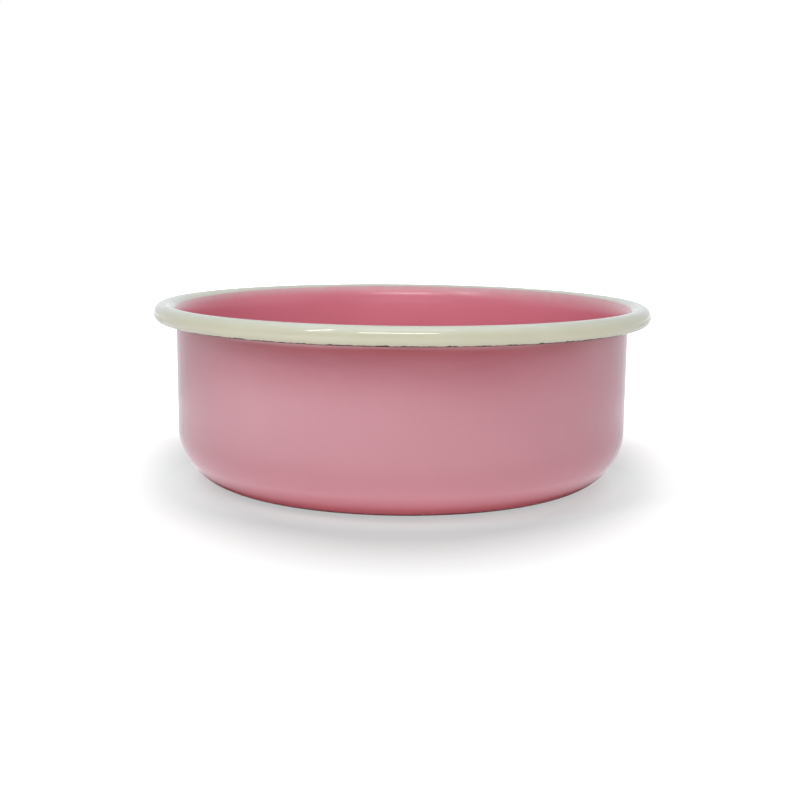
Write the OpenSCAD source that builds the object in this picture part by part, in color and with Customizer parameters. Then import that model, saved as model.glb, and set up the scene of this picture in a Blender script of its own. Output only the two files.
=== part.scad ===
// Enamelled steel pet bowl: a deep-drawn shell with a rolled rim, under fired glass coats.
// The steel sheet is followed in section from the axis to the cut edge of its curl.
// Each layer is the band between two offsets of that one line, so the layers nest at any size.

/* [Body] */
// Outside diameter of the wall where it meets the flare of the rim
body_d = 150; // [110:1:210]
// Height from the resting face to the crest of the rim
height = 60; // [45:1:90]
// Lean of the wall from upright in degrees, wider at the top
wall_lean = 0.5; // [0:0.1:4]
// Outside radius between the base and the wall
corner_r = 19; // [8:0.5:26]

/* [Rim] */
// Diameter of the rolled bead over its enamel
bead_d = 6.2; // [5:0.1:9]
// Distance from the line of the wall to the bead, which the flare narrows
crease_w = 1.3; // [0.8:0.1:4]
// Radius of the long bend that eases the wall into the flare
ease_r = 14; // [8:0.5:18]
// Turn of that bend in degrees
ease_turn = 20; // [5:1:24]
// Turn of the sheet in degrees from the crest of the rim to its cut edge
curl_turn = 255; // [200:1:265]

/* [Base] */
// Width of the flat ring that the bowl stands on
foot_w = 9; // [5:0.5:16]
// Rise of the centre panel above the ring
panel_rise = 1.2; // [0.4:0.1:3]
// Radius of the two bends between the ring and the panel
step_r = 3; // [2:0.25:8]

/* [Sheet and coats] */
// Thickness of the steel
steel_t = 0.6; // [0.4:0.05:1.2]
// Thickness of the dark ground coat on each side
ground_t = 0.1; // [0.06:0.01:0.2]
// Thickness of each coloured cover coat
cover_t = 0.15; // [0.1:0.01:0.3]
// Thickness of the fused bond line between two layers, left open
bond_t = 0.01; // [0.005:0.005:0.02]
// Turn of the sheet in degrees, from the wall up, at which the pink coats stop
pink_turn = 50; // [30:1:75]
// Turn of the curl in degrees from the crest to the end of the cream coat
cream_turn = 154; // [120:1:185]

/* [Colours] */
// Pink cover coat
pink = "#cf8290"; // ["#cf8290", "#c9919b", "#c4697a"]
// Cream cover coat
cream = "#d9d8c0"; // ["#d9d8c0", "#e6e2cc", "#cdccb3"]

/* [Hidden] */
steel_grey = "#8b8d90";
ground_black = "#26272c";

// Largest turn in degrees between two stations of a bend
facet_turn = 7.5;
// Facets around the axis
$fn = 180;

// Offsets from the middle of the sheet to the two faces of each layer
steel_face = steel_t / 2;
ground_seat = steel_face + bond_t;
ground_face = ground_seat + ground_t;
cover_seat = ground_face + bond_t;
cover_face = cover_seat + cover_t;

// Radii of the bends, along the middle of the sheet
bead_r = bead_d / 2;
corner_mid_r = corner_r - cover_face;
curl_mid_r = bead_r - cover_face;

// The long bend and the flare together carry the sheet from the wall out to the crest over the bead
eased_lean = wall_lean + ease_turn;
ease_run = ease_r * (cos(wall_lean) - cos(eased_lean));
ease_rise = ease_r * (sin(eased_lean) - sin(wall_lean));
flare_run = bead_r + crease_w + cover_face * cos(wall_lean) - ease_run;
flare_mid_r = flare_run / cos(eased_lean);
flare_rise = flare_mid_r * (1 - sin(eased_lean));

// Straight wall, between the corner and the long bend
wall_top_r = body_d / 2 - cover_face * cos(wall_lean);
wall_top_z = height - cover_face - flare_rise - ease_rise;
wall_foot_z = corner_r - corner_mid_r * sin(wall_lean);
wall_len = (wall_top_z - wall_foot_z) / cos(wall_lean);

// Base: the ring runs in from the corner, and a shallow step lifts the panel inside it
foot_outer_r = wall_top_r - wall_len * sin(wall_lean) - corner_mid_r * cos(wall_lean);
step_turn = acos(1 - panel_rise / (2 * step_r));
step_run = 2 * step_r * sin(step_turn);
panel_r = foot_outer_r - foot_w - step_run;

// A station is [point, heading in degrees]; the food side lies to the left of the heading.
function last(list) = list[len(list) - 1];

function ahead(from, length) = [[from[0] + length * [cos(from[1]), sin(from[1])], from[1]]];

// Stations after from, round a bend that turns left for a positive turn and right for a negative one
function bend(from, radius, turn) =
    let(steps = ceil(abs(turn) / facet_turn))
    let(side = sign(turn) * radius)
    let(centre = from[0] + side * [-sin(from[1]), cos(from[1])])
    [
        for (i = [1 : steps])
            let(heading = from[1] + turn * i / steps)
            [centre + side * [sin(heading), -cos(heading)], heading]
    ];

function offset_line(line, distance) =
    [for (s = line) s[0] + distance * [-sin(s[1]), cos(s[1])]];

function reversed(list) = [for (i = [len(list) - 1 : -1 : 0]) list[i]];

function band(line, near, far) = concat(offset_line(line, near), reversed(offset_line(line, far)));

// The sheet, stretch by stretch from the axis outwards
axis_start = [[0, cover_face + panel_rise], 0];
panel = concat([axis_start], ahead(axis_start, panel_r));
step_down = bend(last(panel), step_r, -step_turn);
step_out = bend(last(step_down), step_r, step_turn);
foot = ahead(last(step_out), foot_w);
corner = bend(last(foot), corner_mid_r, 90 - wall_lean);
wall = ahead(last(corner), wall_len);
flare_ease = bend(last(wall), ease_r, -ease_turn);
flare_pink = bend(last(flare_ease), flare_mid_r, ease_turn - pink_turn);
flare_cream = bend(last(flare_pink), flare_mid_r, pink_turn + wall_lean - 90);
curl_cream = bend(last(flare_cream), curl_mid_r, -cream_turn);
curl_bare = bend(last(curl_cream), curl_mid_r, cream_turn - curl_turn);

body_line = concat(panel, step_down, step_out, foot, corner, wall, flare_ease, flare_pink);
rim_line = concat([last(flare_pink)], flare_cream, curl_cream);
sheet_line = concat(body_line, flare_cream, curl_cream, curl_bare);

// Outer ground coat in section, with a lip that closes the cut edge of the curl
cut_edge = [last(sheet_line)];
edge_lip = ahead(cut_edge[0], ground_t);
outer_ground_section = concat(
    offset_line(sheet_line, -ground_face),
    offset_line(edge_lip, -ground_face),
    offset_line(edge_lip, ground_face),
    offset_line(cut_edge, ground_face),
    reversed(offset_line(sheet_line, -ground_seat))
);

// Deep-drawn sheet, from the centre of the base to the cut edge of the curl
module steel_shell() {
    color(steel_grey) rotate_extrude() polygon(band(sheet_line, -steel_face, steel_face));
}

// Dark bonding coat on the food side of the sheet, round to the cut edge
module inner_ground_coat() {
    color(ground_black) rotate_extrude() polygon(band(sheet_line, ground_seat, ground_face));
}

// Dark bonding coat under the base, up the outside and into the curl
module outer_ground_coat() {
    color(ground_black) rotate_extrude() polygon(outer_ground_section);
}

// Pink coat inside the bowl, up to the cream rim
module inner_enamel() {
    color(pink) rotate_extrude() polygon(band(body_line, cover_seat, cover_face));
}

// Pink coat outside the bowl, from the base to the crease under the rim
module outer_enamel() {
    color(pink) rotate_extrude() polygon(band(body_line, -cover_face, -cover_seat));
}

// Cream coat over the crest and round the bead
module rim_enamel() {
    color(cream) rotate_extrude() polygon(band(rim_line, cover_seat, cover_face));
}

steel_shell();
inner_ground_coat();
outer_ground_coat();
inner_enamel();
outer_enamel();
rim_enamel();
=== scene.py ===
"""An enamelled steel pet bowl: smooth fired coats with hand-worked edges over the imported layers."""
import math

import bpy
import numpy as np
from mathutils import Matrix, Vector


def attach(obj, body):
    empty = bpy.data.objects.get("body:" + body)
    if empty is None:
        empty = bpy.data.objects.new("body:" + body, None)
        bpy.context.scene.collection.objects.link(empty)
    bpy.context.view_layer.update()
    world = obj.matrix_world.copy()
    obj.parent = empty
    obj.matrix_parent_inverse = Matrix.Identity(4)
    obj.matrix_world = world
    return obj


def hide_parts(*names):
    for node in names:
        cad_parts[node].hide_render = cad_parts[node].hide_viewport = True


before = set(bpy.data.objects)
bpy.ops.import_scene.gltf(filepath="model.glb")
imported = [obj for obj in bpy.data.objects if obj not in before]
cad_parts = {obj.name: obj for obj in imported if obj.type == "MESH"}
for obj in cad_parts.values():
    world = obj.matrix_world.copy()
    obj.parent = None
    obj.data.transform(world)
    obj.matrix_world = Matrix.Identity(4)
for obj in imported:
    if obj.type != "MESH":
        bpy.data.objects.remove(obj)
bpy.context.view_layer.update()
MM = 0.001

# Sizes of the sheet and its coats, in metres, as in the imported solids
HEIGHT = 60 * MM
BODY_D = 150 * MM
WALL_LEAN = math.radians(0.5)
CORNER_R = 19 * MM
BEAD_R = 3.1 * MM
CREASE_W = 1.3 * MM
EASE_R = 14 * MM
EASE_TURN = math.radians(20)
CURL_TURN = math.radians(255)
FOOT_W = 9 * MM
PANEL_RISE = 1.2 * MM
STEP_R = 3 * MM
GROUND_SEAT = 0.31 * MM
GROUND_FACE = 0.41 * MM
COVER_SEAT = 0.42 * MM
COVER_FACE = 0.57 * MM
COVER_T = COVER_FACE - COVER_SEAT
PINK_TURN = math.radians(50)
CREAM_TURN = math.radians(154)

# Bends of the sheet that follow from these, along its middle line
CORNER_MID_R = CORNER_R - COVER_FACE
CURL_MID_R = BEAD_R - COVER_FACE
EASED_LEAN = WALL_LEAN + EASE_TURN
EASE_RUN = EASE_R * (math.cos(WALL_LEAN) - math.cos(EASED_LEAN))
EASE_RISE = EASE_R * (math.sin(EASED_LEAN) - math.sin(WALL_LEAN))
FLARE_RUN = BEAD_R + CREASE_W + COVER_FACE * math.cos(WALL_LEAN) - EASE_RUN
FLARE_MID_R = FLARE_RUN / math.cos(EASED_LEAN)
FLARE_RISE = FLARE_MID_R * (1 - math.sin(EASED_LEAN))

# The cream was dipped a little askew: its inner edge, by the turn of the sheet, lies higher at the back
DIP_TURN = math.radians(40)
DIP_BACK = math.radians(16)
DIP_RIGHT = math.radians(5)
# Hand-worked edges: size of the slow, the quick and the ragged part of their wander
INNER_EDGE_SLOW = 0.07 * MM
INNER_EDGE_QUICK = 0.03 * MM
LOWER_EDGE_LIFT = 0.16 * MM
LOWER_EDGE_SLOW = 0.08 * MM
LOWER_EDGE_QUICK = 0.09 * MM
LOWER_EDGE_RAGGED = 0.10 * MM
EDGE_ROUND = 0.4 * MM
EDGE_THIN = 0.5 * MM
# Pink runs on under the cream, and fades out there
PINK_TUCK = 0.9 * MM
# The cream stands a little proud of the pink near its inner edge, and is drawn thin over the bead
CREAM_PROUD = 0.03 * MM
CREAM_PROUD_W = 1.2 * MM
CREAM_DRAWN = 0.035 * MM
CREAM_SUNK = COVER_T / 10
# Turns of the curl between which the lighter colour of the crest, painted light on the top of the bead,
# gives way to that of the bead
CREST_LIGHT_FULL = math.radians(15)
CREST_LIGHT_END = math.radians(85)
# Where the wall starts to flare, the outside coat is drawn thin and the inside coat builds up
CREASE_DRAWN = 0.11 * MM
LIP_BUILT = 0.20 * MM
# Width of the zone where the two colours run together: on the pink, more on its right, and on the cream;
# on the pink it is partly a painted reflection that pales the lip, more so on its right
PALE_SHEEN_W = 2.6 * MM
PALE_RIGHT_SHEEN = 2.0 * MM
BLUSH_W = 1.0 * MM
# The glaze pools in this share of the corner, from the foot, and outside at the top of the wall too; its
# deeper colour there is partly real pooling and partly painted shade of the corner and of the crease
# under the rim
POOL_AND_SHADE_SHARE = 0.8
CREASE_POOL_SHADE_BELOW = 2 * MM
CREASE_POOL_SHADE_ABOVE = 1 * MM
# Slow waves of the drawn wall, and the three marks of the pins that the bowl was fired on
WALL_WAVE = 0.03 * MM
PIN_CIRCLE_R = 37 * MM
PIN_MARK_R = 1.2 * MM
PIN_MARK_DEPTH = 0.08 * MM
PIN_MARK_REACH = 3 * PIN_MARK_R
PIN_MARK_ROWS = 15
PIN_ANGLES = np.radians([75, 195, 315])

# Steps along the section on bends and straights, and facets around the axis
FINE = (math.radians(3), 3 * MM)
COARSE = (math.radians(7.5), 20 * MM)
BODY_FACETS = 360
RIM_FACETS = 720
RIM_ROWS = 48
RIM_SEAT_ROWS = 16
# The dark coat is fine from this far before the end of the cream
GROUND_FINE_BEFORE = 2 * MM
# A ring of less than this radius is a point on the axis
POLE_R = 1e-9

# Colours of the fired coats and the steel: two ends of each cloud, pools that are partly painted shade,
# specks and the run edges
# The inside pink is a much lighter copy and the outside pink a darker copy of one enamel: painted light
# and shade for how each side is lit
INSIDE_LIGHT = (0.675, 0.224, 0.290, 1)
INSIDE_DEEP = (0.645, 0.204, 0.267, 1)
INSIDE_POOLED_AND_SHADED = (0.62, 0.180, 0.237, 1)
OUTSIDE_LIGHT = (0.450, 0.141, 0.177, 1)
OUTSIDE_DEEP = (0.428, 0.129, 0.164, 1)
OUTSIDE_POOLED_AND_SHADED = (0.440, 0.112, 0.128, 1)
PINK_SPECK = (0.20, 0.08, 0.085, 1)
# This pale colour is the cream's blush at the pink and, on the pink lip, a painted reflection
PINK_BLUSH_AND_SHEEN = (0.60, 0.41, 0.42, 1)
# The crest colour is painted light: the top of the bead made lighter and cooler
CREAM_CREST_PAINTED_LIGHT = (0.620, 0.655, 0.565, 1)
CREAM_LIGHT = (0.572, 0.562, 0.425, 1)
CREAM_DEEP = (0.545, 0.530, 0.393, 1)
CREAM_BURNT = (0.16, 0.09, 0.08, 1)
GROUND_LIGHT = (0.028, 0.022, 0.022, 1)
GROUND_DEEP = (0.006, 0.006, 0.008, 1)
STEEL_LIGHT = (0.40, 0.40, 0.41, 1)
STEEL_DEEP = (0.28, 0.28, 0.29, 1)

# Gloss: refraction, and the least and most roughness
INSIDE_IOR = 1.42
INSIDE_ROUGH = (0.21, 0.26)
OUTSIDE_IOR = 1.9
OUTSIDE_ROUGH = (0.07, 0.10)
CREAM_IOR = 1.5
CREAM_ROUGH = (0.03, 0.06)
GROUND_SPECULAR = 0.2
GROUND_ROUGH = (0.5, 0.65)
STEEL_ROUGH = (0.35, 0.5)

# Noises, each as scale per metre and detail, and the range that a noise usually fills
NOISE_RANGE = (0.3, 0.7)
GLOSS_NOISE = (65, 3)
PEEL_NOISE = (210, 2)
PEEL_FINE_NOISE = (900, 1)
PINK_CLOUD = (30, 3)
PINK_GRAIN = (1500, 2)
PALE_NOISE = (250, 2)
CREAM_CLOUD = (55, 4)
RAGGED_NOISE = (900, 2)
GROUND_CLOUD = (160, 4)
GROUND_PITS = (700, 3)
STEEL_GRAIN = (900, 3)

# Strength of what these noises drive
PEEL_FINE_SHARE = 0.15
PEEL_STRENGTH = 0.1
PEEL_DEPTH = 0.2 * MM
PINK_CLOUD_SPAN = (0.2, 0.8)
PINK_GRAIN_SPAN = (-0.2, 0.2)
PALE_SPAN = (0.5, 0.85)
CREST_LIGHT_SPAN = (0.85, 1)
RAGGED_RANGE = (0.35, 0.6)
RAGGED_SPAN = (0.05, 0.7)
GROUND_PIT_STRENGTH = 0.25
GROUND_PIT_DEPTH = 0.2 * MM
# Specks: scale per metre, size in cells and share of the cells; how deep they colour; their full core
PINK_SPECKS = (130, 0.045, 0.07)
PINK_SPECK_DEPTH = 0.6
CREAM_SPECKS = (160, 0.05, 0.1)
CREAM_SPECK_DEPTH = 0.5
SPECK_CORE = 0.6
# Thin edges of the pink, bare pin marks, the cream's blush at the pink, and its bare lower edge
PINK_THIN_END = 0.6
PINK_THIN_DEPTH = 0.8
PIN_BARE = (0.25, 0.6)
PIN_BARE_DEPTH = 0.92
BLUSH_START = 0.1
BLUSH_DEPTH = 0.8
BARE_FADE = 0.25
BARE_DEPTH = 0.9

# Stage: a pale floor that goes to white
WHITE = (1, 1, 1, 1)
FLOOR_HALF = 6.0
FLOOR_DROP = 0.05 * MM
FLOOR_COLOUR = (0.536, 0.546, 0.546, 1)
FLOOR_NEAR_COUNTER_TINT = (0.45, 0.58, 0.57, 1)
BOUNCE_COLOUR = (0.9, 0.9, 0.9, 1)
# Oval shade of the floor: how much narrower it is across and behind, its middle, and its steps outwards
SHADE_ACROSS = 2.0
SHADE_BEHIND = 3.6
SHADE_MIDDLE_Y = 0.06
SHADE_CORE = 0.148
SHADE_HALF = 0.188
SHADE_END = 0.31
# Glow that the eye sees in the core and half way out of that shade, and what is added beyond
GLOW_CORE = 0.19
GLOW_HALF = 0.53
GLOW_MORE = 0.64
# Glow and tint of the floor from under the bowl outwards; the tint near the base is painted, bluish to
# cancel the pink light that the bowl throws on the floor
BASE_R = 0.06
BASE_END = 0.08
TINT_END = 0.10
GLOW_UNDER = 0.25
GLOW_BESIDE = 0.05

# The floor that the glaze mirrors glows only in reflections: painted dark under the bowl, fading in
# front, and dimmer close behind
SHEET_COLOUR = (0.93, 0.94, 1.0, 1)
SHEET_NEAR = 0.065
SHEET_FULL = 0.073
SHEET_FADE = 0.27
SHEET_END = 0.44
CONTACT_LEVEL = 0.02
FRONT_TO_BACK_Y = (-0.35, 0.1)
BACK_REACH = (0.08, 0.2)
BACK_LEVEL = 0.4
FAR_BACK_Y = (0.1, 0.2)
FAR_BACK_LEVEL = 0.97
FAR_FLOOR = (0.8, 2.5)
# The lamp over that floor that the glaze mirrors too: it ends behind, and is brighter on the left
SHEET_POWER = 1.85
SHEET_RISE = 0.5 * MM
SHEET_LAMP_Y = (-0.1, 0.17)
SHEET_LAMP_X = (-0.2, 0.2)
SHEET_LAMP_SIDES = (1.4, 0.5)
# The lamp that stands for light thrown up by the floor close round the base
BOUNCE_RISE = 1.5 * MM
BOUNCE_D = 0.17
BOUNCE_POWER = 0.036

# World: even light, and in reflections a studio whose side in front of the bowl is dark up to some height
SKY_LEVEL = 0.2
ROOM_LEVEL = 0.25
STUDIO_COLOUR = (0.92, 0.95, 1.0, 1)
DARK_SIDE_Y = (-0.3, -0.75)
DARK_SIDE_Z = (0.4, 0.8)

# Points that the lamps face
AIM_FLOOR = (0, 0, 0)
AIM_WALL = (0, 0, 0.03)
AIM_RIM = (0, 0, 0.05)
AIM_UP = (0, 0, 1)

# Camera, from the fit of the photograph's outline
CAMERA_BACK = 501.2 * MM
CAMERA_UP = 103.5 * MM
CAMERA_PITCH = math.radians(8.72)
CAMERA_YAW = math.radians(0.054)
CAMERA_ROLL = math.radians(0.56)
CAMERA_LENS = 67.4
SENSOR_WIDTH = 36


class Section:
    """The middle line of the sheet from the axis to the cut edge, by arc length."""

    def __init__(self, start):
        self.rows = []
        self.point = np.array(start, float)
        self.heading = 0.0
        self.length = 0.0
        self.marks = {}

    def run(self, mark, length, bend=0.0):
        """A straight run, or an arc of curvature bend, that ends at mark."""
        self.rows.append((self.length, self.point.copy(), self.heading, bend))
        self.length += length
        r, z = self.at(np.array([self.length]), 0.0)
        self.point = np.array([r[0], z[0]])
        self.heading += bend * length
        self.marks[mark] = self.length

    def arc(self, mark, radius, turn):
        self.run(mark, radius * abs(turn), math.copysign(1 / radius, turn))

    def at(self, s, offset):
        """Radius and height at the arc lengths s, offset towards the food side."""
        offset = offset * np.ones_like(s)
        starts = np.array([row[0] for row in self.rows])
        which = np.clip(np.searchsorted(starts, s, side="right") - 1, 0, len(starts) - 1)
        r = np.zeros_like(s)
        z = np.zeros_like(s)
        for i, (start, point, heading, bend) in enumerate(self.rows):
            here = which == i
            run = s[here] - start
            turned = heading + bend * run
            if bend == 0.0:
                r[here] = point[0] + run * math.cos(heading)
                z[here] = point[1] + run * math.sin(heading)
            else:
                r[here] = point[0] + (np.sin(turned) - math.sin(heading)) / bend
                z[here] = point[1] + (math.cos(heading) - np.cos(turned)) / bend
            r[here] -= offset[here] * np.sin(turned)
            z[here] += offset[here] * np.cos(turned)
        return r, z

    def stops(self, first, last, turn_step, run_step):
        """Arc lengths from first to last, close together on bends and wide apart on straights."""
        found = [first]
        ends = [row[0] for row in self.rows[1:]] + [self.length]
        for (start, _, _, bend), end in zip(self.rows, ends):
            low, high = max(first, start), min(last, end)
            if high <= low:
                continue
            step = turn_step / abs(bend) if bend else run_step
            count = max(1, math.ceil((high - low) / step))
            found.extend(low + (high - low) * np.arange(1, count + 1) / count)
        return np.array(found)


def sheet_section():
    """The sheet, stretch by stretch from the axis outwards."""
    wall_top_r = BODY_D / 2 - COVER_FACE * math.cos(WALL_LEAN)
    wall_top_z = HEIGHT - COVER_FACE - FLARE_RISE - EASE_RISE
    wall_foot_z = CORNER_R - CORNER_MID_R * math.sin(WALL_LEAN)
    wall_len = (wall_top_z - wall_foot_z) / math.cos(WALL_LEAN)
    foot_outer = wall_top_r - wall_len * math.sin(WALL_LEAN) - CORNER_MID_R * math.cos(WALL_LEAN)
    step_turn = math.acos(1 - PANEL_RISE / (2 * STEP_R))
    section = Section((0.0, COVER_FACE + PANEL_RISE))
    section.run("panel", foot_outer - FOOT_W - 2 * STEP_R * math.sin(step_turn))
    section.arc("step_down", STEP_R, -step_turn)
    section.arc("step_out", STEP_R, step_turn)
    section.run("foot", FOOT_W)
    section.arc("corner", CORNER_MID_R, math.pi / 2 - WALL_LEAN)
    section.run("wall", wall_len)
    section.arc("ease", EASE_R, -EASE_TURN)
    section.arc("crest", FLARE_MID_R, EASED_LEAN - math.pi / 2)
    section.arc("cut_edge", CURL_MID_R, -CURL_TURN)
    return section


SECTION = sheet_section()
MARK = SECTION.marks


def flare_stop(turn):
    """Arc length on the flare at which the sheet has turned so far from the wall."""
    return MARK["ease"] + FLARE_MID_R * (turn - EASE_TURN)


def curl_stop(turn):
    """Arc length on the curl at which the sheet has turned so far from the crest."""
    return MARK["crest"] + CURL_MID_R * turn


def ring_angles(count):
    return np.arange(count) * 2 * math.pi / count


def wander(angles, seed, low, high, size):
    """A smooth closed ripple of about the given size, from harmonics low to high."""
    draw = np.random.RandomState(seed)
    total = np.zeros_like(angles)
    for k in range(low, high + 1):
        total += draw.normal() * np.cos(k * angles + draw.uniform(0, 2 * math.pi))
    return size * total / math.sqrt((high - low + 1) / 2)


def rounded(distance, width):
    """Rise of a rounded edge from 0 at the edge to 1 at width behind it."""
    return np.sqrt(np.clip(1 - (1 - np.clip(distance / width, 0, 1)) ** 2, 0, 1))


def ramp(value, low, high):
    """Smooth rise from 0 at low to 1 at high."""
    share = np.clip((value - low) / (high - low), 0, 1)
    return share * share * (3 - 2 * share)


def is_pole(r):
    return np.max(np.abs(r)) < POLE_R


def revolve(name, rings, angles, closed, layers):
    """A closed mesh from rings of (radius, height); a first or last ring of no radius is a pole."""
    n = len(angles)
    verts, index = [], []
    for r, z in rings:
        start = len(verts)
        if is_pole(r):
            index.append([start] * n)
            verts.append((0.0, 0.0, float(z[0])))
        else:
            index.append(list(range(start, start + n)))
            verts.extend(zip((r * np.cos(angles)).tolist(), (r * np.sin(angles)).tolist(), z.tolist()))
    pairs = list(zip(index[:-1], index[1:]))
    if closed:
        pairs.append((index[-1], index[0]))
    faces = []
    for a, b in pairs:
        for j in range(n):
            k = (j + 1) % n
            corners = (a[j], b[j], b[k], a[k])
            faces.append(tuple(dict.fromkeys(corners)))
    mesh = bpy.data.meshes.new(name)
    mesh.from_pydata(verts, [], faces)
    mesh.shade_smooth()
    for layer, rows in layers.items():
        values = []
        for (r, _), row in zip(rings, rows):
            count = 1 if is_pole(r) else n
            values.extend((row * np.ones(n))[:count])
        attribute = mesh.attributes.new(layer, "FLOAT", "POINT")
        attribute.data.foreach_set("value", np.array(values, np.float32))
    piece = bpy.data.objects.new(name, mesh)
    bpy.context.scene.collection.objects.link(piece)
    return piece


def wall_wave(s, angles):
    """Slow waves of the drawn sheet, which die out at the foot and at the flare."""
    share = ramp(s, MARK["foot"], MARK["corner"]) * (1 - ramp(s, MARK["wall"], MARK["ease"]))
    below = wander(angles, seed=31, low=2, high=9, size=WALL_WAVE)
    above = wander(angles, seed=32, low=2, high=9, size=WALL_WAVE)
    height = ramp(s, MARK["foot"], MARK["ease"])
    return share * (below * (1 - height) + above * height)


def pin_marks(s, angles):
    """How near each point of the panel is to a mark of a firing pin, from 0 to 1."""
    near = np.zeros_like(angles)
    for pin in PIN_ANGLES:
        dx = s * np.cos(angles) - PIN_CIRCLE_R * math.cos(pin)
        dy = s * np.sin(angles) - PIN_CIRCLE_R * math.sin(pin)
        near = np.maximum(near, np.exp(-(dx * dx + dy * dy) / PIN_MARK_R ** 2))
    return near


def crease_change(s, most):
    """How far a coat, by up to most, makes up for the start of the flare, so the wall looks straight."""
    turn = np.clip((s - MARK["wall"]) / EASE_R, 0, EASE_TURN)
    run = EASE_R * (1 - np.cos(turn))
    return most * (1 - np.exp(-run / most)) * (1 - ramp(s, MARK["ease"], flare_stop(PINK_TURN)))


def pool_and_shade_share(s, side):
    """Share of the deeper colour in the corner, and outside in the crease too: partly glaze that pools,
    partly painted shade.
    """
    pool_shade_end = MARK["foot"] + POOL_AND_SHADE_SHARE * (MARK["corner"] - MARK["foot"])
    corner = ramp(s, MARK["step_out"], MARK["foot"]) * (1 - ramp(s, MARK["foot"], pool_shade_end))
    if side > 0:
        return corner
    return corner + ramp(s, MARK["wall"] - CREASE_POOL_SHADE_BELOW, MARK["wall"] + CREASE_POOL_SHADE_ABOVE)


def stretched(s, reach):
    """The arc length s at each angle: above the wall it is stretched with the reach of the coat."""
    if s > MARK["wall"]:
        return MARK["wall"] + (s - MARK["wall"]) * reach
    return s * np.ones_like(reach)


def body_coat(name, end, side, fade, pinned):
    """A pink coat from the axis to the arc lengths end: its shown face, then its seat.

    It lies on the food side for a side of 1 and on the outside for -1, and thins out over fade.
    """
    angles = ring_angles(BODY_FACETS)
    last = float(np.mean(end))
    reach = (end - MARK["wall"]) / (last - MARK["wall"])
    # The pale zone on the pink lip is partly colour run and partly painted reflection, wider on the right
    pale_sheen_w = PALE_SHEEN_W + PALE_RIGHT_SHEEN * np.clip(np.cos(angles), 0, 1)
    shown = SECTION.stops(0.0, last, *FINE)
    if pinned:
        around = np.linspace(PIN_CIRCLE_R - PIN_MARK_REACH, PIN_CIRCLE_R + PIN_MARK_REACH, PIN_MARK_ROWS)
        shown = np.unique(np.concatenate([shown, around]))
    rings, thickness, pins, pools_and_shade, pale_and_sheen = [], [], [], [], []
    for s in shown:
        share = rounded(last - s, fade)
        mark = pin_marks(s, angles) if pinned else np.zeros_like(angles)
        change = crease_change(s, LIP_BUILT) if side > 0 else -crease_change(s, CREASE_DRAWN)
        depth = COVER_SEAT + COVER_T * share - PIN_MARK_DEPTH * mark + share * change
        rings.append(SECTION.at(stretched(s, reach), side * depth + wall_wave(s, angles)))
        thickness.append(share)
        pins.append(mark)
        pools_and_shade.append(pool_and_shade_share(s, side))
        pale_and_sheen.append(np.clip(1 - (last - fade - s) / pale_sheen_w, 0, 1) if side > 0 else 0.0)
    for s in SECTION.stops(0.0, last, *COARSE)[::-1]:
        rings.append(SECTION.at(stretched(s, reach), side * COVER_SEAT))
        thickness.append(1.0)
        pins.append(0.0)
        pools_and_shade.append(0.0)
        pale_and_sheen.append(0.0)
    layers = {"thickness": thickness, "pin": pins, "pool_and_shade": pools_and_shade, "pale_and_sheen": pale_and_sheen}
    if side > 0:
        rings = rings[::-1]
        layers = {layer: rows[::-1] for layer, rows in layers.items()}
    return revolve(name, rings, angles, False, layers)


def cream_start(angles):
    """Arc length of the cream's inner edge: a slightly askew dip with a hand-worked wander."""
    turn = DIP_TURN + DIP_BACK * np.sin(angles) + DIP_RIGHT * np.cos(angles)
    return flare_stop(turn) + wander(angles, seed=11, low=2, high=9, size=INNER_EDGE_SLOW)


def inner_enamel():
    end = cream_start(ring_angles(BODY_FACETS)) + PINK_TUCK
    return body_coat("inner_enamel_skin", end, 1, PINK_TUCK, False)


def outer_enamel():
    edge = wander(ring_angles(BODY_FACETS), seed=5, low=3, high=40, size=INNER_EDGE_SLOW)
    return body_coat("outer_enamel_skin", flare_stop(PINK_TURN) + edge, -1, EDGE_ROUND, True)


def inner_ground():
    """The dark coat under the inside: coarse where it is covered, fine where the bead shows it."""
    angles = ring_angles(BODY_FACETS)
    bare = curl_stop(CREAM_TURN) - GROUND_FINE_BEFORE
    covered = SECTION.stops(0.0, bare, *COARSE)
    shown = SECTION.stops(bare, MARK["cut_edge"], *FINE)[1:]
    rings = []
    for s in SECTION.stops(0.0, MARK["cut_edge"], *COARSE):
        rings.append(SECTION.at(s * np.ones_like(angles), GROUND_SEAT))
    for s in np.concatenate([covered, shown])[::-1]:
        rings.append(SECTION.at(s * np.ones_like(angles), GROUND_FACE))
    return revolve("inner_ground_skin", rings, angles, False, {})


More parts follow.
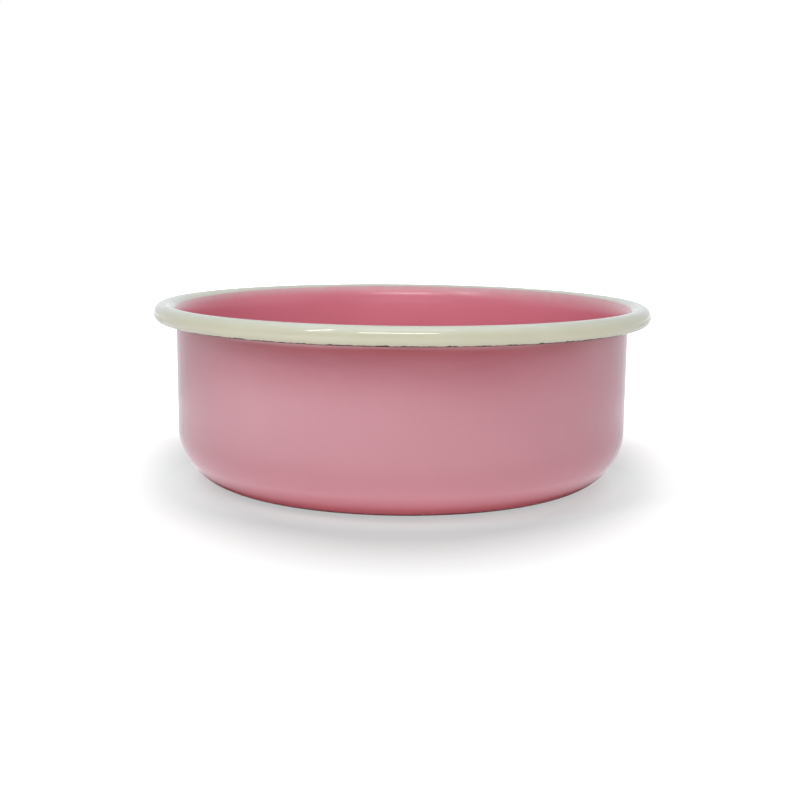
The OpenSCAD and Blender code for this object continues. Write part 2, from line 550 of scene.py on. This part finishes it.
def rim_enamel():
    """The cream coat over the crest and round the bead, between two hand-worked edges."""
    angles = ring_angles(RIM_FACETS)
    first = cream_start(angles) + wander(angles, seed=12, low=20, high=70, size=INNER_EDGE_QUICK)
    last = curl_stop(CREAM_TURN) - LOWER_EDGE_LIFT
    last = last + wander(angles, seed=21, low=2, high=12, size=LOWER_EDGE_SLOW)
    last = last + wander(angles, seed=22, low=30, high=110, size=LOWER_EDGE_QUICK)
    last = last + wander(angles, seed=23, low=140, high=330, size=LOWER_EDGE_RAGGED)
    rings, thickness, blush, crest = [], [], [], []
    for u in (1 - np.cos(np.linspace(0, math.pi, RIM_ROWS))) / 2:
        s = first + (last - first) * u
        rise = rounded(s - first, EDGE_ROUND)
        fall = rounded(last - s, EDGE_ROUND)
        drawn = CREAM_DRAWN * ramp(s, MARK["crest"] - CREAM_PROUD_W, MARK["crest"])
        proud = CREAM_PROUD * rise * (1 - ramp(s - first, 0, CREAM_PROUD_W))
        sunk = CREAM_SUNK * (1 - rise)
        rings.append(SECTION.at(s, COVER_SEAT + COVER_T * fall + proud - drawn * fall - sunk))
        thickness.append(np.clip((last - s) / EDGE_THIN, 0, 1))
        blush.append(1 - np.clip((s - first) / BLUSH_W, 0, 1))
        # Share of the painted light on the top of the bead
        crest.append(1 - ramp(s, curl_stop(CREST_LIGHT_FULL), curl_stop(CREST_LIGHT_END)))
    for u in np.linspace(1, 0, RIM_SEAT_ROWS):
        s = first + (last - first) * u
        rings.append(SECTION.at(s, COVER_SEAT))
        thickness.append(1.0)
        blush.append(0.0)
        crest.append(0.0)
    layers = {"thickness": thickness[::-1], "blush": blush[::-1], "crest": crest[::-1]}
    return revolve("rim_enamel_skin", rings[::-1], angles, True, layers)


class Graph:
    """Short calls that add nodes to a material, the world or a lamp, and join them."""

    def __init__(self, owner):
        owner.use_nodes = True
        self.nodes = owner.node_tree.nodes
        self.links = owner.node_tree.links

    def put(self, socket, value):
        if isinstance(value, bpy.types.NodeSocket):
            self.links.new(value, socket)
        else:
            socket.default_value = value

    def node(self, kind, inputs, **settings):
        node = self.nodes.new(kind)
        for name, value in settings.items():
            setattr(node, name, value)
        for key, value in inputs.items():
            self.put(node.inputs[key], value)
        return node

    def math(self, operation, first, second):
        return self.node("ShaderNodeMath", {0: first, 1: second}, operation=operation).outputs["Value"]

    def length(self, vector):
        return self.node("ShaderNodeVectorMath", {0: vector}, operation="LENGTH").outputs["Value"]

    def spread(self, value, low, high, to_low, to_high):
        """The value with low mapped to to_low and high to to_high, and held at both ends."""
        inputs = {"Value": value, "From Min": low, "From Max": high, "To Min": to_low, "To Max": to_high}
        return self.node("ShaderNodeMapRange", inputs).outputs["Result"]

    def noise(self, coords, kind):
        scale, detail = kind
        inputs = {"Vector": coords, "Scale": scale, "Detail": detail}
        return self.node("ShaderNodeTexNoise", inputs).outputs["Fac"]

    def cloud(self, coords, kind, low, high):
        """A noise with the range that it usually fills spread from low to high."""
        return self.spread(self.noise(coords, kind), *NOISE_RANGE, low, high)

    def mix(self, factor, first, second):
        inputs = {"Factor": factor, "A": first, "B": second}
        return self.node("ShaderNodeMix", inputs, data_type="RGBA").outputs["Result"]

    def blend(self, factor, first, second):
        inputs = {"Factor": factor, "A": first, "B": second}
        return self.node("ShaderNodeMix", inputs, data_type="FLOAT").outputs["Result"]

    def layer(self, name):
        return self.node("ShaderNodeAttribute", {}, attribute_name=name).outputs["Fac"]

    def choose(self, factor, first, second):
        return self.node("ShaderNodeMixShader", {0: factor, 1: first, 2: second}).outputs["Shader"]

    def object_coords(self):
        return self.nodes.new("ShaderNodeTexCoord").outputs["Object"]

    def axes(self, vector):
        return self.node("ShaderNodeSeparateXYZ", {0: vector}).outputs

    def bump(self, height, strength, distance):
        inputs = {"Height": height, "Strength": strength, "Distance": distance}
        return self.node("ShaderNodeBump", inputs).outputs["Normal"]

    def specks(self, coords, scale, size, share):
        """One in small round specks, in the given share of the cells of a random grid."""
        cells = self.node("ShaderNodeTexVoronoi", {"Vector": coords, "Scale": scale})
        dot = self.spread(cells.outputs["Distance"], size, size * SPECK_CORE, 0, 1)
        chance = self.node("ShaderNodeSeparateColor", {"Color": cells.outputs["Color"]}).outputs["Red"]
        return self.math("MULTIPLY", dot, self.math("LESS_THAN", chance, share))

    def rays(self):
        """One for rays that glaze mirrors or glass lets through, and one for rays from the eye."""
        path = self.nodes.new("ShaderNodeLightPath").outputs
        mirrored = self.math("MAXIMUM", path["Is Glossy Ray"], path["Is Transmission Ray"])
        return mirrored, path["Is Camera Ray"]


def new_material(name):
    material = bpy.data.materials.new(name)
    graph = Graph(material)
    return material, graph, graph.nodes["Principled BSDF"]


def glaze_surface(graph, shader, coords, rough):
    """Orange peel of the fired glass, and a gloss that varies a little."""
    graph.put(shader.inputs["Roughness"], graph.cloud(coords, GLOSS_NOISE, *rough))
    fine = graph.math("MULTIPLY", graph.noise(coords, PEEL_FINE_NOISE), PEEL_FINE_SHARE)
    peel = graph.math("ADD", graph.noise(coords, PEEL_NOISE), fine)
    graph.put(shader.inputs["Normal"], graph.bump(peel, PEEL_STRENGTH, PEEL_DEPTH))


def pink_enamel(name, light, deep, pooled_and_shaded, ior, rough):
    material, graph, shader = new_material(name)
    coords = graph.object_coords()
    cloud = graph.cloud(coords, PINK_CLOUD, *PINK_CLOUD_SPAN)
    grain = graph.cloud(coords, PINK_GRAIN, *PINK_GRAIN_SPAN)
    colour = graph.mix(graph.math("ADD", cloud, grain), deep, light)
    # Deeper colour in the corner and outside under the rim: partly pooled glaze, partly painted shade
    colour = graph.mix(graph.layer("pool_and_shade"), colour, pooled_and_shaded)
    # Paler lip by the cream: partly the two colours running together, partly a painted reflection
    pale_and_sheen = graph.math("MULTIPLY", graph.layer("pale_and_sheen"), graph.cloud(coords, PALE_NOISE, *PALE_SPAN))
    colour = graph.mix(pale_and_sheen, colour, PINK_BLUSH_AND_SHEEN)
    specks = graph.math("MULTIPLY", graph.specks(coords, *PINK_SPECKS), PINK_SPECK_DEPTH)
    colour = graph.mix(specks, colour, PINK_SPECK)
    thin = graph.spread(graph.layer("thickness"), 0.0, PINK_THIN_END, PINK_THIN_DEPTH, 0.0)
    colour = graph.mix(thin, colour, PINK_SPECK)
    pin = graph.spread(graph.layer("pin"), *PIN_BARE, 0, PIN_BARE_DEPTH)
    colour = graph.mix(pin, colour, GROUND_LIGHT)
    graph.put(shader.inputs["Base Color"], colour)
    shader.inputs["IOR"].default_value = ior
    glaze_surface(graph, shader, coords, rough)
    return material


def cream_enamel():
    material, graph, shader = new_material("cream_glaze")
    coords = graph.object_coords()
    cloud = graph.cloud(coords, CREAM_CLOUD, 0, 1)
    colour = graph.mix(cloud, CREAM_DEEP, CREAM_LIGHT)
    # Painted light on the crest: the top of the bead mixed towards a lighter, cooler colour
    crest = graph.math("MULTIPLY", graph.layer("crest"), graph.spread(cloud, 0, 1, *CREST_LIGHT_SPAN))
    colour = graph.mix(crest, colour, CREAM_CREST_PAINTED_LIGHT)
    specks = graph.math("MULTIPLY", graph.specks(coords, *CREAM_SPECKS), CREAM_SPECK_DEPTH)
    colour = graph.mix(specks, colour, CREAM_BURNT)
    blush = graph.spread(graph.layer("blush"), BLUSH_START, 1.0, 0, BLUSH_DEPTH)
    colour = graph.mix(blush, colour, PINK_BLUSH_AND_SHEEN)
    ragged = graph.spread(graph.noise(coords, RAGGED_NOISE), *RAGGED_RANGE, *RAGGED_SPAN)
    bare = graph.math("SUBTRACT", ragged, graph.layer("thickness"))
    bare = graph.spread(bare, 0.0, BARE_FADE, 0, BARE_DEPTH)
    colour = graph.mix(bare, colour, CREAM_BURNT)
    graph.put(shader.inputs["Base Color"], colour)
    shader.inputs["IOR"].default_value = CREAM_IOR
    glaze_surface(graph, shader, coords, CREAM_ROUGH)
    return material


def ground_coat():
    material, graph, shader = new_material("ground_glaze")
    coords = graph.object_coords()
    cloud = graph.noise(coords, GROUND_CLOUD)
    graph.put(shader.inputs["Base Color"], graph.mix(cloud, GROUND_DEEP, GROUND_LIGHT))
    graph.put(shader.inputs["Roughness"], graph.spread(cloud, *NOISE_RANGE, *GROUND_ROUGH))
    shader.inputs["Specular IOR Level"].default_value = GROUND_SPECULAR
    pits = graph.bump(graph.noise(coords, GROUND_PITS), GROUND_PIT_STRENGTH, GROUND_PIT_DEPTH)
    graph.put(shader.inputs["Normal"], pits)
    return material


def bare_steel():
    material, graph, shader = new_material("sheet_steel")
    grain = graph.noise(graph.object_coords(), STEEL_GRAIN)
    graph.put(shader.inputs["Base Color"], graph.mix(grain, STEEL_DEEP, STEEL_LIGHT))
    shader.inputs["Metallic"].default_value = 1
    graph.put(shader.inputs["Roughness"], graph.spread(grain, *NOISE_RANGE, *STEEL_ROUGH))
    return material


def dress(piece, node, material):
    piece.data.materials.append(material)
    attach(piece, "root")
    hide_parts(node)


def redress(node, material):
    """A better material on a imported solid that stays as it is."""
    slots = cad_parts[node].data.materials
    slots.clear()
    slots.append(material)


def floor_place(graph):
    """Distance of a point on the floor from the middle of the bowl, and its place along X and Y."""
    place = graph.nodes.new("ShaderNodeNewGeometry").outputs["Position"]
    axes = graph.axes(place)
    return graph.length(place), axes["X"], axes["Y"]


def paper(graph, colour):
    return graph.node("ShaderNodeBsdfDiffuse", {"Color": colour}).outputs["BSDF"]


def seen_floor(graph, away, x, y):
    """The floor to the eye: tinted paper, with a glow to white outside an oval shade."""
    along = graph.math("SUBTRACT", y, SHADE_MIDDLE_Y)
    along = graph.math("MAXIMUM", along, graph.math("MULTIPLY", along, SHADE_BEHIND))
    across = graph.math("MULTIPLY", x, SHADE_ACROSS)
    reach = graph.length(graph.node("ShaderNodeCombineXYZ", {"X": across, "Y": along}).outputs["Vector"])
    half = graph.spread(reach, SHADE_CORE, SHADE_HALF, GLOW_CORE, GLOW_HALF)
    glow = graph.math("ADD", half, graph.spread(reach, SHADE_HALF, SHADE_END, 0, GLOW_MORE))
    glow = graph.math("ADD", glow, graph.spread(away, BASE_R, BASE_END, GLOW_UNDER, GLOW_BESIDE))
    glow = graph.node("ShaderNodeEmission", {"Strength": glow}).outputs["Emission"]
    # Painted tint: bluish near the base to cancel the pink light that the bowl throws on the floor
    tint = graph.mix(graph.spread(away, BASE_R, TINT_END, 0, 1), FLOOR_NEAR_COUNTER_TINT, FLOOR_COLOUR)
    return graph.node("ShaderNodeAddShader", {0: paper(graph, tint), 1: glow}).outputs["Shader"]


def mirrored_floor(graph, away, y):
    """The floor as the glaze mirrors it: a sheet that glows only in reflections, with a painted shadow
    under the bowl.
    """
    contact = graph.spread(away, SHEET_NEAR, SHEET_FULL, CONTACT_LEVEL, 1)
    front = graph.spread(away, SHEET_FADE, SHEET_END, 1, 0)
    back = graph.spread(away, *BACK_REACH, BACK_LEVEL, 1)
    back = graph.math("MULTIPLY", back, graph.spread(y, *FAR_BACK_Y, 1, FAR_BACK_LEVEL))
    level = graph.blend(graph.spread(y, *FRONT_TO_BACK_Y, 0, 1), front, back)
    level = graph.math("ADD", level, graph.spread(away, *FAR_FLOOR, 0, 1))
    inputs = {"Color": SHEET_COLOUR, "Strength": graph.math("MULTIPLY", contact, level)}
    return graph.node("ShaderNodeEmission", inputs).outputs["Emission"]


def floor_material():
    """Paper that goes to white for the eye, a glowing sheet in reflections, pale paper for bounced light.
    """
    material, graph, shader = new_material("floor")
    graph.nodes.remove(shader)
    mirrored, from_eye = graph.rays()
    away, x, y = floor_place(graph)
    shown = graph.choose(from_eye, paper(graph, BOUNCE_COLOUR), seen_floor(graph, away, x, y))
    shown = graph.choose(mirrored, shown, mirrored_floor(graph, away, y))
    graph.put(graph.nodes["Material Output"].inputs["Surface"], shown)
    return material


def build_floor():
    mesh = bpy.data.meshes.new("floor")
    signs = ((-1, -1), (1, -1), (1, 1), (-1, 1))
    corners = [(x * FLOOR_HALF, y * FLOOR_HALF, -FLOOR_DROP) for x, y in signs]
    mesh.from_pydata(corners, [], [(0, 1, 2, 3)])
    mesh.materials.append(floor_material())
    floor = bpy.data.objects.new("floor", mesh)
    bpy.context.scene.collection.objects.link(floor)


def build_world():
    """White to the eye, a studio with a dark side in reflections, and a dim even light otherwise."""
    world = bpy.data.worlds.new("studio")
    bpy.context.scene.world = world
    graph = Graph(world)
    mirrored, from_eye = graph.rays()
    axes = graph.axes(graph.nodes.new("ShaderNodeTexCoord").outputs["Generated"])
    low = graph.spread(axes["Z"], *DARK_SIDE_Z, 1, 0)
    front = graph.math("MULTIPLY", graph.spread(axes["Y"], *DARK_SIDE_Y, 0, 1), low)
    studio = graph.spread(front, 0, 1, 1, ROOM_LEVEL)
    plain = graph.spread(from_eye, 0, 1, SKY_LEVEL, 1)
    sky = graph.nodes["Background"]
    graph.put(sky.inputs["Color"], graph.mix(mirrored, WHITE, STUDIO_COLOUR))
    graph.put(sky.inputs["Strength"], graph.blend(mirrored, plain, studio))


def area_light(name, place, target, size, power, mirrored=True, diffuse=True):
    light = bpy.data.lights.new(name, "AREA")
    light.shape = "RECTANGLE"
    light.size, light.size_y = size
    light.energy = power
    lamp = bpy.data.objects.new(name, light)
    lamp.location = place
    lamp.rotation_euler = (Vector(target) - Vector(place)).to_track_quat("-Z", "Y").to_euler()
    lamp.visible_glossy = mirrored
    lamp.visible_diffuse = diffuse
    bpy.context.scene.collection.objects.link(lamp)
    return lamp


def mirrored_sheet():
    """The lit table round the front of the bowl as the glaze mirrors it, brighter on the left."""
    size = (2 * SHEET_END, 2 * SHEET_END)
    lamp = area_light("mirrored_sheet", (0, 0, SHEET_RISE), AIM_UP, size, SHEET_POWER, diffuse=False)
    lamp.visible_camera = False
    lamp.data.color = SHEET_COLOUR[:3]
    graph = Graph(lamp.data)
    away, x, y = floor_place(graph)
    contact = graph.spread(away, SHEET_NEAR, SHEET_FULL, 0, 1)
    front = graph.spread(y, *SHEET_LAMP_Y, 1, 0)
    fade = graph.math("MULTIPLY", graph.spread(away, SHEET_FADE, SHEET_END, 1, 0), front)
    side = graph.math("MULTIPLY", fade, graph.spread(x, *SHEET_LAMP_X, *SHEET_LAMP_SIDES))
    graph.put(graph.nodes["Emission"].inputs["Strength"], graph.math("MULTIPLY", contact, side))


def table_bounce():
    """Light that the table close round the base throws up on to the corner of the bowl."""
    size = (BOUNCE_D, BOUNCE_D)
    lamp = area_light("table_bounce", (0, 0, BOUNCE_RISE), AIM_UP, size, BOUNCE_POWER, mirrored=False)
    lamp.data.shape = "DISK"
    lamp.visible_camera = False


def build_camera():
    data = bpy.data.cameras.new("camera")
    data.lens = CAMERA_LENS
    data.sensor_width = SENSOR_WIDTH
    camera = bpy.data.objects.new("camera", data)
    aim = Matrix.Rotation(CAMERA_YAW, 4, "Z") @ Matrix.Rotation(math.pi / 2 - CAMERA_PITCH, 4, "X")
    place = Matrix.Translation((0, -CAMERA_BACK, CAMERA_UP))
    camera.matrix_world = place @ aim @ Matrix.Rotation(CAMERA_ROLL, 4, "Z")
    bpy.context.scene.collection.objects.link(camera)
    bpy.context.scene.camera = camera


inside = pink_enamel(
    "pink_glaze_inside", INSIDE_LIGHT, INSIDE_DEEP, INSIDE_POOLED_AND_SHADED, INSIDE_IOR, INSIDE_ROUGH
)
outside = pink_enamel(
    "pink_glaze_outside", OUTSIDE_LIGHT, OUTSIDE_DEEP, OUTSIDE_POOLED_AND_SHADED, OUTSIDE_IOR, OUTSIDE_ROUGH
)
dark = ground_coat()
dress(inner_enamel(), "inner_enamel", inside)
dress(outer_enamel(), "outer_enamel", outside)
dress(rim_enamel(), "rim_enamel", cream_enamel())
dress(inner_ground(), "inner_ground_coat", dark)
redress("outer_ground_coat", dark)
redress("steel_shell", bare_steel())

build_camera()
build_floor()
build_world()
mirrored_sheet()
table_bounce()
# Soft boxes and strips: place, point faced, width and height, power in watts
area_light("overhead_box", (0, 0.1, 0.85), AIM_FLOOR, (1.0, 0.8), 1.7)
area_light("front_box", (0, -0.75, 0.85), AIM_RIM, (0.9, 0.7), 1.3, mirrored=False)
area_light("front_strip", (-0.03, -0.85, 0.8), AIM_RIM, (0.6, 0.15), 4.0, diffuse=False)
area_light("high_strip", (0.03, -0.2, 0.85), AIM_RIM, (0.4, 0.15), 0.6, diffuse=False)
area_light("left_strip", (-0.49, -0.49, 0.8), AIM_RIM, (0.07, 0.42), 1.5)
area_light("front_fill", (0, -1.0, 0.205), AIM_WALL, (0.9, 0.3), 5.0, mirrored=False)
area_light("left_fill", (-0.9, -0.1, 0.5), AIM_WALL, (0.5, 0.5), 1.0, mirrored=False)
area_light("right_fill", (0.9, -0.1, 0.5), AIM_WALL, (0.5, 0.5), 1.2, mirrored=False)
area_light("back_fill", (0, 0.9, 0.3), AIM_WALL, (0.9, 0.4), 6.0, mirrored=False)
bpy.context.scene.view_settings.view_transform = "Standard"
